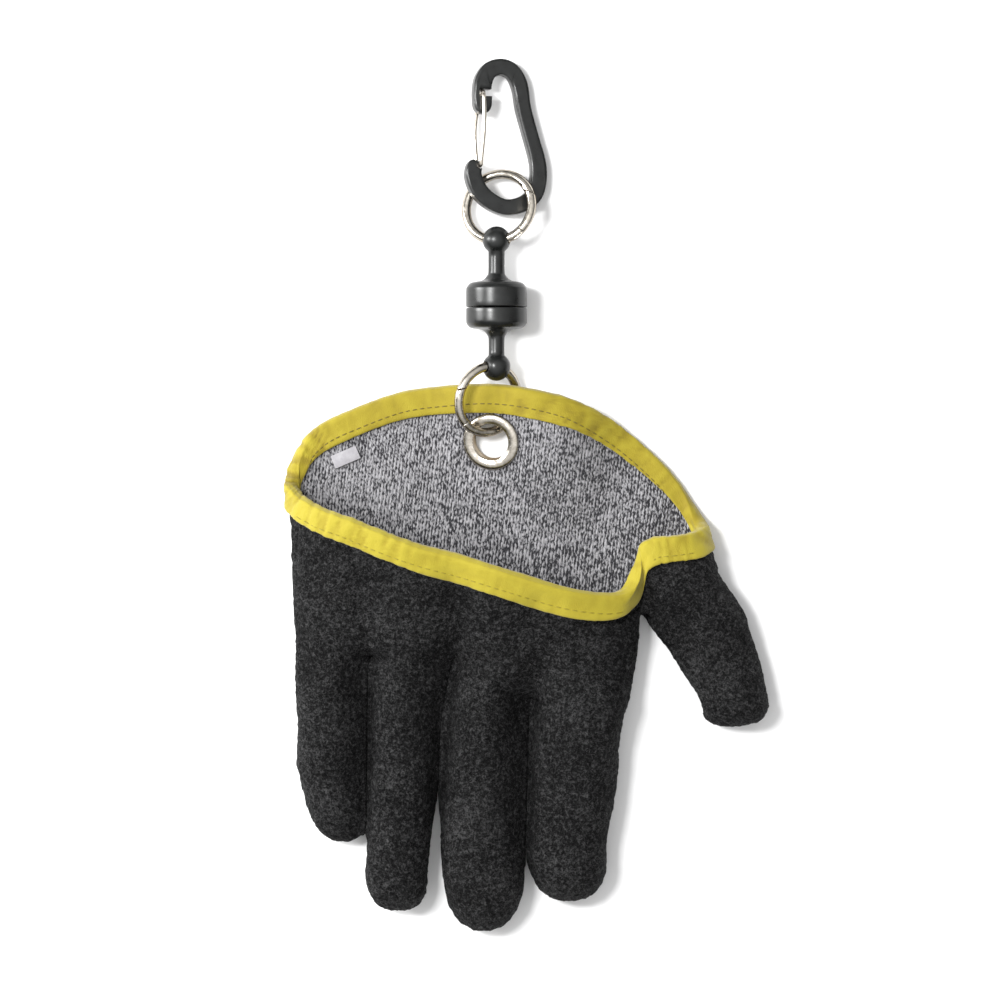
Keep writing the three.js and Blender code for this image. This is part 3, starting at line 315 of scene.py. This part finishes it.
def nickel_material():
    """Warm polished nickel with fine scratches and dull spots."""
    m = Nodes("polished_nickel")
    place = m.coordinates()
    spots = m.noise(place, 0.9, detail=4.0)
    scratch = m.noise(m.coordinates(scale=(300, 2600, 2600)), 1.0, detail=2.0)
    shade = m.ramp(spots, [(0.3, (0.46, 0.42, 0.36)), (0.7, (0.66, 0.62, 0.55))])
    # Painted reflection: the dark brown specular tint darkens the metal's reflections at grazing angles,
    # where dark surroundings would show.
    m.set(Base_Color=shade, Metallic=1.0, Specular_Tint=(0.3, 0.22, 0.14, 1.0),
          Roughness=m.ramp(spots, [(0.3, (0.16,) * 3), (0.75, (0.3,) * 3)]),
          Normal=m.bump(scratch, 0.02 * MM, 0.25))
    return m.material


def black_material():
    """Black anodised metal, satin, with faint turning marks and pale rubbed spots."""
    m = Nodes("black_satin_metal")
    place = m.coordinates()
    cloud = m.noise(place, 0.35, detail=3.0)
    grain = m.noise(m.coordinates(scale=(500, 3200, 500)), 1.0, detail=2.0)
    shade = m.ramp(cloud, [(0.35, (0.007, 0.0075, 0.0072)), (0.7, (0.014, 0.015, 0.0147))])
    m.set(Base_Color=shade, Metallic=0.2,
          Roughness=m.ramp(cloud, [(0.3, (0.26,) * 3), (0.7, (0.36,) * 3)]),
          Normal=m.bump(grain, 0.02 * MM, 0.12))
    m.set(Specular_IOR_Level=0.5)
    return m.material


def wire_material():
    """Drawn stainless wire with fine lines along it."""
    m = Nodes("steel_wire")
    lines = m.noise(m.coordinates(scale=(2800, 240, 2800)), 1.0, detail=2.0)
    shade = m.ramp(lines, [(0.3, (0.52, 0.47, 0.4)), (0.7, (0.72, 0.67, 0.6))])
    m.set(Base_Color=shade, Metallic=1.0, Normal=m.bump(lines, 0.03 * MM, 0.3),
          Roughness=m.ramp(lines, [(0.3, (0.18,) * 3), (0.7, (0.3,) * 3)]))
    return m.material


def floor_material():
    """Pale matte paper."""
    m = Nodes("pale_floor")
    shade = m.ramp(m.noise(m.coordinates(), 0.02), [(0.3, (0.88,) * 3), (0.7, (0.9,) * 3)])
    m.set(Base_Color=shade, Roughness=0.9)
    return m.material


# Mesh helpers

def smooth_copy(node, name, levels, sharp_degrees):
    """A copy of a faceted solid, rounded where levels isn't 0, with its real edges kept by creases."""
    mesh = bpy.data.meshes.new(name)
    bm = bmesh.new()
    bm.from_mesh(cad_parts[node].data)
    bmesh.ops.remove_doubles(bm, verts=bm.verts, dist=MERGE_DISTANCE)
    bmesh.ops.join_triangles(
        bm, faces=bm.faces, angle_face_threshold=JOIN_ANGLE,
        angle_shape_threshold=math.radians(60),
    )
    crease = bm.edges.layers.float.new("crease_edge")
    for edge in bm.edges:
        if len(edge.link_faces) == 2 and edge.calc_face_angle() > math.radians(sharp_degrees):
            edge[crease] = EDGE_CREASE
    bm.to_mesh(mesh)
    bm.free()
    piece = bpy.data.objects.new(name, mesh)
    bpy.context.scene.collection.objects.link(piece)
    if levels:
        fitted_rounding(piece, levels)
    places = coordinates_of(piece.data)
    places[:, 2] = np.maximum(places[:, 2], 0.0)
    piece.data.vertices.foreach_set("co", places.ravel())
    piece.data.shade_smooth()
    return piece


def evaluated(piece):
    return piece.evaluated_get(bpy.context.evaluated_depsgraph_get())


def apply_modifiers(piece):
    shape = bpy.data.meshes.new_from_object(evaluated(piece))
    shape.name = piece.data.name
    piece.modifiers.clear()
    piece.data = shape


def finish_piece(piece, body, materials, nodes=()):
    for material in materials:
        piece.data.materials.append(material)
    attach(piece, body)
    if nodes:
        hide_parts(*nodes)


def coordinates_of(mesh):
    places = np.empty(len(mesh.vertices) * 3)
    mesh.vertices.foreach_get("co", places)
    return places.reshape(-1, 3)


def normals_of(mesh):
    normals = np.empty(len(mesh.vertices) * 3)
    mesh.vertex_normals.foreach_get("vector", normals)
    return normals.reshape(-1, 3)


def smooth_line(points, step):
    """Points at an even step along a Catmull-Rom line through the given points, in metres."""
    padded = [points[0], *points, points[-1]]
    fine = []
    for index in range(1, len(padded) - 2):
        a, b, c, d = (np.array(p, float) for p in padded[index - 1:index + 3])
        for t in np.linspace(0, 1, 24, endpoint=False):
            fine.append(0.5 * (2 * b + (c - a) * t + (2 * a - 5 * b + 4 * c - d) * t * t
                               + (3 * b - a - 3 * c + d) * t ** 3))
    fine.append(np.array(points[-1], float))
    fine = np.array(fine) * MM
    lengths = np.concatenate([[0], np.cumsum(np.linalg.norm(np.diff(fine, axis=0), axis=1))])
    stations = np.arange(0, lengths[-1], step)
    return np.stack([np.interp(stations, lengths, fine[:, axis]) for axis in range(2)], axis=1)


def ease(t):
    t = np.clip(t, 0, 1)
    return t * t * (3 - 2 * t)


# Glove: coated outside and knit inside

def crossings(tree, start, direction, most=12, step=0.02 * MM):
    """How often a straight line from start meets the surface, counted up to a limit."""
    count = 0
    place = start
    while count < most:
        hit = tree.ray_cast(place, direction)[0]
        if hit is None:
            return count
        count += 1
        place = hit + direction * step
    return count


def inside_outline(point, outline):
    """Whether the point lies within the closed outline, seen from above."""
    inside = False
    for (ax, ay), (bx, by) in zip(outline, outline[1:] + outline[:1]):
        if (ay > point[1]) != (by > point[1]):
            inside ^= point[0] < ax + (point[1] - ay) * (bx - ax) / (by - ay)
    return inside


def inner_faces(bm):
    """Faces that look into the hollow: cloth above and below, or cloth below and the mouth above."""
    tree = BVHTree.FromBMesh(bm)
    mouth = [(x * MM, y * MM) for x, y in FRONT_RIM + BACK_RIM[::-1]]
    up, down = Vector((0, 0, 1)), Vector((0, 0, -1))
    found = []
    for face in bm.faces:
        place = face.calc_center_median() + face.normal * (0.15 * MM)
        above, below = crossings(tree, place, up), crossings(tree, place, down)
        covered = above >= 2 and below >= 2
        open_above = above == 0 and below == 2 and face.normal.z > 0
        if covered or (open_above and inside_outline(place, mouth)):
            found.append(face)
    return largest_patch(found)


def largest_patch(faces):
    """The largest group of the faces that hangs together by its edges."""
    waiting = set(faces)
    largest = []
    while waiting:
        patch = [waiting.pop()]
        for face in patch:
            beside = {other for edge in face.edges for other in edge.link_faces} & waiting
            waiting -= beside
            patch.extend(beside)
        if len(patch) > len(largest):
            largest = patch
    return largest


def fitted_rounding(piece, levels, rounds=3):
    """Subdivides so that the smooth surface still runs through the points of the coarse one."""
    target = coordinates_of(piece.data)
    cage = target.copy()
    rounding = piece.modifiers.new("rounding", "SUBSURF")
    rounding.levels = rounding.render_levels = levels
    for _ in range(rounds):
        cage += target - coordinates_of(evaluated(piece).data)[:len(target)]
        piece.data.vertices.foreach_set("co", cage.ravel())
        piece.data.update()
        bpy.context.view_layer.update()
    apply_modifiers(piece)


def soften_knuckles(bm):
    """Evens out the step between palm and fingers on the upper wall."""
    for _ in range(KNUCKLE_PASSES):
        moves = []
        for vert in bm.verts:
            if vert.co.z < UPPER_WALL_LEVEL:
                continue
            weight = math.exp(-((vert.co.y - KNUCKLE_LINE) / KNUCKLE_SPREAD) ** 2)
            around = [edge.other_vert(vert).co.z for edge in vert.link_edges]
            moves.append((vert, weight * 0.5 * (sum(around) / len(around) - vert.co.z)))
        for vert, move in moves:
            vert.co.z += move


def make_glove():
    mesh = bpy.data.meshes.new("glove_cloth")
    bm = bmesh.new()
    bm.from_mesh(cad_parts["glove_shell"].data)
    bmesh.ops.remove_doubles(bm, verts=bm.verts, dist=MERGE_DISTANCE)
    for face in bm.faces:
        face.material_index = 0
    for face in inner_faces(bm):
        face.material_index = 1
    bmesh.ops.join_triangles(
        bm, faces=bm.faces, angle_face_threshold=JOIN_ANGLE,
        angle_shape_threshold=math.radians(70), cmp_materials=True,
    )
    crease = bm.edges.layers.float.new("crease_edge")
    for edge in bm.edges:
        if len({face.material_index for face in edge.link_faces}) > 1:
            edge[crease] = 1.0
    soften_knuckles(bm)
    bm.to_mesh(mesh)
    bm.free()
    glove = bpy.data.objects.new("glove_cloth", mesh)
    bpy.context.scene.collection.objects.link(glove)
    glove.data.materials.append(coating_material())
    glove.data.materials.append(knit_material())
    fitted_rounding(glove, 2)

    # The outer wall gets one more level, for the crinkle
    bm = bmesh.new()
    bm.from_mesh(glove.data)
    edges = [
        edge for edge in bm.edges if any(face.material_index == 0 for face in edge.link_faces)
    ]
    bmesh.ops.subdivide_edges(bm, edges=edges, cuts=1, use_grid_fill=True, smooth=1.0)
    bm.to_mesh(glove.data)
    bm.free()
    crinkle_outside(glove.data)
    glove.data.shade_smooth()
    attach(glove, "glove_side")
    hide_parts("glove_shell")


def valley_depths(places):
    """How far the upper wall sinks beside the gaps between the fingers, more steeply on the right."""
    depths = np.zeros(len(places))
    for valley in VALLEYS:
        x, y, depth = np.array(valley[::-1]).T * MM
        off = places[:, 0] - np.interp(places[:, 1], y, x)
        width = np.where(off < 0, VALLEY_LEFT, VALLEY_RIGHT)
        floor = np.interp(places[:, 1], y, depth, left=0, right=0)
        depths = np.maximum(depths, floor * np.exp(-(off / width) ** 2))
    return depths


def pinch_gaps(places, normals, outside, faces):
    """Draws the side walls of neighbouring fingers together where the gap between them is narrow.

    Returns for each point how far it was drawn: 0 not at all, 1 to the middle of the gap.
    """
    tree = BVHTree.FromPolygons([Vector(place) for place in places], faces)
    shares = np.zeros(len(places))
    sides = outside & (np.abs(normals[:, 2]) < 0.6) & (places[:, 1] < FINGERS_START)
    shifts = np.zeros((len(places), 2))
    for index in np.flatnonzero(sides):
        out = Vector((normals[index, 0], normals[index, 1], 0)).normalized()
        start = Vector(places[index]) + out * (0.05 * MM)
        distance = tree.ray_cast(start, out, NARROW_GAP)[3]
        if distance is not None:
            shares[index] = ease(2 - 2 * distance / NARROW_GAP)
            shifts[index] = np.array(out[:2]) * shares[index] * 0.5 * distance
    places[:, :2] += shifts
    return shares


def clear_of_tape(places):
    """How far the cloth is out of the binding: 0 under the tape, 1 beyond it."""
    rim = np.concatenate([smooth_line(line, MM) for line in (FRONT_RIM, BACK_RIM)])
    distances = np.array([np.hypot(*(rim - place[:2]).T).min() for place in places])
    return ease((distances - BAND_WIDTH) / TAPE_FADE)


def crinkle_outside(mesh):
    """Sinks the valleys, closes narrow gaps, then gives the outer wall its crinkle and soft dents."""
    places = coordinates_of(mesh)
    normals = normals_of(mesh)
    outside = np.zeros(len(places), bool)
    for polygon in mesh.polygons:
        if polygon.material_index == 0:
            outside[list(polygon.vertices)] = True
    places[:, 2] -= valley_depths(places) * np.clip(places[:, 2] / FINGER_HEIGHT, 0, 1)
    faces = [list(polygon.vertices) for polygon in mesh.polygons]
    free = (1 - pinch_gaps(places, normals, outside, faces)) * clear_of_tape(places)
    floor_share = ease((places[:, 2] - 1 * MM) / (3 * MM))
    heights = np.zeros(len(places))
    for index, (place, out) in enumerate(zip(places, outside)):
        if not out:
            continue
        p = Vector(place) / MM
        fine = noise.noise(p * 0.62) + 0.6 * noise.noise(p * 1.3 + Vector((7, 3, 1)))
        broad = noise.noise(p * 0.085)
        heights[index] = CRINKLE_HEIGHT * fine + DENT_HEIGHT * broad * floor_share[index]
    moved = places + normals * (heights * free * (0.25 + 0.75 * floor_share))[:, None]
    moved[:, 2] = np.maximum(moved[:, 2], COAT_LEVEL)
    mesh.vertices.foreach_set("co", moved.ravel())
    mesh.update()


# Binding with gathers and stitches

def make_binding():
    """The folded tape, pleated along the rim, with the height of its pleats kept as an attribute that
    paints shade into the tape's colour, and the back band set darker.
    """
    binding = smooth_copy("rim_binding", "binding_tape", 3, 200)
    mesh = binding.data
    places = coordinates_of(mesh)
    normals = normals_of(mesh)
    front = smooth_line(FRONT_RIM, RIM_STEP)
    back = smooth_line(BACK_RIM, RIM_STEP)
    line = np.concatenate([front, back[::-1]])
    along = np.arange(len(line)) * RIM_STEP
    amounts = np.concatenate([front_gathers(front), back_gathers(back)[::-1]])
    height = np.zeros(len(places))
    rear = np.zeros(len(places), bool)
    for index, place in enumerate(places):
        distances = np.hypot(line[:, 0] - place[0], line[:, 1] - place[1])
        nearest = int(distances.argmin())
        rear[index] = nearest >= len(front)
        s = along[nearest] / GATHER_PITCH
        reach = distances[nearest] / BAND_WIDTH
        pleat = noise.noise(Vector((s * 1.4, reach * 0.9, place[2] / MM * 0.1)))
        pleat += 0.6 * noise.noise(Vector((s * 3.1, reach * 1.3, 5.0)))
        gate = math.hypot(place[0] - LOWER_GATE_PLACE[0], place[1] - LOWER_GATE_PLACE[1])
        free = ease((gate - SMOOTH_TAPE_RADIUS) / SMOOTH_TAPE_FADE)
        height[index] = pleat * amounts[nearest] * free
    moved = places + normals * (height * GATHER_HEIGHT)[:, None]
    moved[:, 2] = np.maximum(moved[:, 2], 0.0)
    mesh.vertices.foreach_set("co", moved.ravel())
    # Painted shade: the attribute follows the pleat height and is low in the valleys of the gathers; the
    # back band is set lower as a whole.
    fold_shade_and_band_tone = mesh.attributes.new("fold_shade_and_band_tone", "FLOAT", "POINT")
    back_band_darkening = np.where(rear, 0.27, 0.0)
    fold_shade_and_band_tones = np.clip(0.62 + 0.5 * height - back_band_darkening, 0, 1)
    fold_shade_and_band_tone.data.foreach_set("value", fold_shade_and_band_tones.astype(np.float32))
    mesh.update()
    finish_piece(binding, "glove_side", [binding_material()], ["rim_binding"])
    return binding


def front_gathers(line):
    """How much the front band is gathered: most at its left end, in its left run and at the notch."""
    x = line[:, 0] / MM
    left = ease((-52 - x) / 10)
    run = np.exp(-((x + 45) / 14) ** 2)
    notch = ease((x - 24) / 12)
    return 0.3 + 0.7 * left + 0.75 * run + 0.7 * notch


def back_gathers(line):
    """How much the back band is gathered: most at its left end and right of the grommet."""
    x = line[:, 0] / MM
    return 0.3 + 0.7 * ease((-52 - x) / 10) + 0.6 * np.exp(-((x - 18) / 16) ** 2)


def make_stitches(binding):
    """Short thread runs on both faces of the tape, near the edge that lies on the cloth."""
    tree = BVHTree.FromObject(binding, bpy.context.evaluated_depsgraph_get())
    shape = bmesh.new()
    for slot, rim in enumerate((FRONT_RIM, BACK_RIM)):
        line = smooth_line(rim, SEAM_STEP)
        tangent = np.gradient(line, axis=0)
        tangent /= np.linalg.norm(tangent, axis=1)[:, None]
        inward = np.stack([tangent[:, 1], -tangent[:, 0]], axis=1)
        seam = line + inward * STITCH_INSET
        for sky, start in ((-1, 60 * MM), (1, -10 * MM)):
            run = []
            for point in seam:
                origin = Vector((point[0], point[1], start))
                hit, normal, _, _ = tree.ray_cast(origin, Vector((0, 0, sky)))
                place = None if hit is None else hit + normal * STITCH_LIFT
                if place:
                    place.z = max(place.z, STITCH_RADIUS)
                run.append(place)
            add_thread(shape, run, slot)
    mesh = bpy.data.meshes.new("binding_stitches")
    shape.to_mesh(mesh)
    shape.free()
    mesh.shade_smooth()
    stitches = bpy.data.objects.new("binding_stitches", mesh)
    bpy.context.scene.collection.objects.link(stitches)
    threads = [
        thread_material("yellow_thread", (0.2, 0.16, 0.008), (0.3, 0.25, 0.012)),
        thread_material("brown_thread", (0.09, 0.065, 0.006), (0.17, 0.13, 0.01)),
    ]
    finish_piece(stitches, "glove_side", threads)


def add_thread(shape, run, slot):
    """Stitches along a run of points, each a thin rod whose ends dive into the tape."""
    per_stitch = round(STITCH_PITCH / SEAM_STEP)
    length = round(STITCH_LENGTH / SEAM_STEP)
    for start in range(0, len(run) - length, per_stitch):
        part = run[start:start + length + 1]
        if any(p is None for p in part):
            continue
        if not SHORTEST_STITCH <= (part[-1] - part[0]).length <= 2 * STITCH_LENGTH:
            continue
        add_rod(shape, part[0], part[-1], slot)


def add_rod(shape, start, end, slot):
    """One stitch: a closed rod that is thinner at its ends."""
    direction = (end - start).normalized()
    side = direction.orthogonal().normalized()
    up = direction.cross(side)
    rings = []
    for t, girth in STITCH_GIRTHS:
        centre = start.lerp(end, t)
        ring = []
        for k in range(STITCH_SIDES):
            angle = k * 2 * math.pi / STITCH_SIDES
            out = side * math.cos(angle) + up * math.sin(angle)
            ring.append(shape.verts.new(centre + out * STITCH_RADIUS * girth))
        rings.append(ring)
    for first, second in zip(rings, rings[1:]):
        for k in range(STITCH_SIDES):
            after = (k + 1) % STITCH_SIDES
            face = shape.faces.new((first[k], first[after], second[after], second[k]))
            face.material_index = slot
    for end_ring in (rings[0][::-1], rings[-1]):
        shape.faces.new(end_ring).material_index = slot


# Metal and label

def make_hardware():
    nickel = nickel_material()
    black = black_material()
    wire = wire_material()
    # Node, piece, body, slot, material, and the angle in degrees from which an edge stays sharp
    table = [
        ("grommet", "eyelet", "glove_side", "nickel", nickel, 50),
        ("lower_ring_body", "lower_spring_ring", "glove_side", "nickel", nickel, 50),
        ("lower_ring_gate", "lower_spring_gate", "lower_gate", "nickel", nickel, 50),
        ("upper_ring_body", "upper_spring_ring", "clip_side", "nickel", nickel, 50),
        ("upper_ring_gate", "upper_spring_gate", "upper_gate", "nickel", nickel, 50),
        ("magnet_lower", "release_lower", "glove_side", "black_satin", black, 40),
        ("magnet_upper", "release_upper", "clip_side", "black_satin", black, 40),
        ("clip_body", "carabiner", "clip_side", "black_satin", black, 50),
        ("clip_gate", "carabiner_gate", "wire_gate", "steel_wire", wire, 50),
    ]
    for node, name, body, slot, material, sharp in table:
        piece = smooth_copy(node, name, 2, sharp)
        finish_piece(piece, body, [material], [node])
    label = smooth_copy("size_label", "bare_label", 0, 200)
    edge = label.modifiers.new("edge", "BEVEL")
    edge.width = 0.15 * MM
    edge.segments = 3
    apply_modifiers(label)
    finish_piece(label, "glove_side", [label_material()], ["size_label"])


# Stage

def make_stage():
    bpy.ops.mesh.primitive_plane_add(size=FLOOR_SIZE, location=(0, 0, FLOOR_LEVEL))
    floor = bpy.context.object
    floor.name = "floor"
    floor.data.materials.append(floor_material())

    world = bpy.data.worlds.new("studio")
    bpy.context.scene.world = world
    world.use_nodes = True
    tree = world.node_tree
    place = tree.nodes.new("ShaderNodeTexCoord")
    parts = tree.nodes.new("ShaderNodeSeparateXYZ")
    sky = tree.nodes.new("ShaderNodeValToRGB")
    stops = sky.color_ramp.elements
    stops[0].position, stops[0].color = 0.25, (0.1, 0.1, 0.1, 1)
    stops[1].position, stops[1].color = 0.98, (1.5, 1.5, 1.5, 1)
    middle = stops.new(0.75)
    middle.color = (0.85, 0.85, 0.85, 1)
    tree.links.new(place.outputs["Generated"], parts.inputs[0])
    tree.links.new(parts.outputs[2], sky.inputs["Fac"])
    tree.links.new(sky.outputs["Color"], tree.nodes["Background"].inputs["Color"])
    tree.nodes["Background"].inputs["Strength"].default_value = WORLD_STRENGTH

    for light in LIGHTS:
        add_light(*light)

    camera_data = bpy.data.cameras.new("camera")
    camera = bpy.data.objects.new("camera", camera_data)
    bpy.context.scene.collection.objects.link(camera)
    camera.location = (*VIEW_CENTRE, CAMERA_HEIGHT)
    camera_data.sensor_width = SENSOR_WIDTH
    camera_data.lens = SENSOR_WIDTH * (CAMERA_HEIGHT - VIEW_LEVEL) / VIEW_WIDTH
    camera_data.clip_start = 0.05
    bpy.context.scene.camera = camera
    bpy.context.scene.view_settings.view_transform = "Standard"


def add_light(name, place, width, length, power):
    """A rectangular light that faces the origin."""
    data = bpy.data.lights.new(name, "AREA")
    data.shape = "RECTANGLE"
    data.size = width
    data.size_y = length
    data.energy = power
    light = bpy.data.objects.new(name, data)
    bpy.context.scene.collection.objects.link(light)
    light.location = place
    light.rotation_euler = (-Vector(place)).to_track_quat("-Z", "Y").to_euler()


make_stage()
make_glove()
tape = make_binding()
make_stitches(tape)
make_hardware()
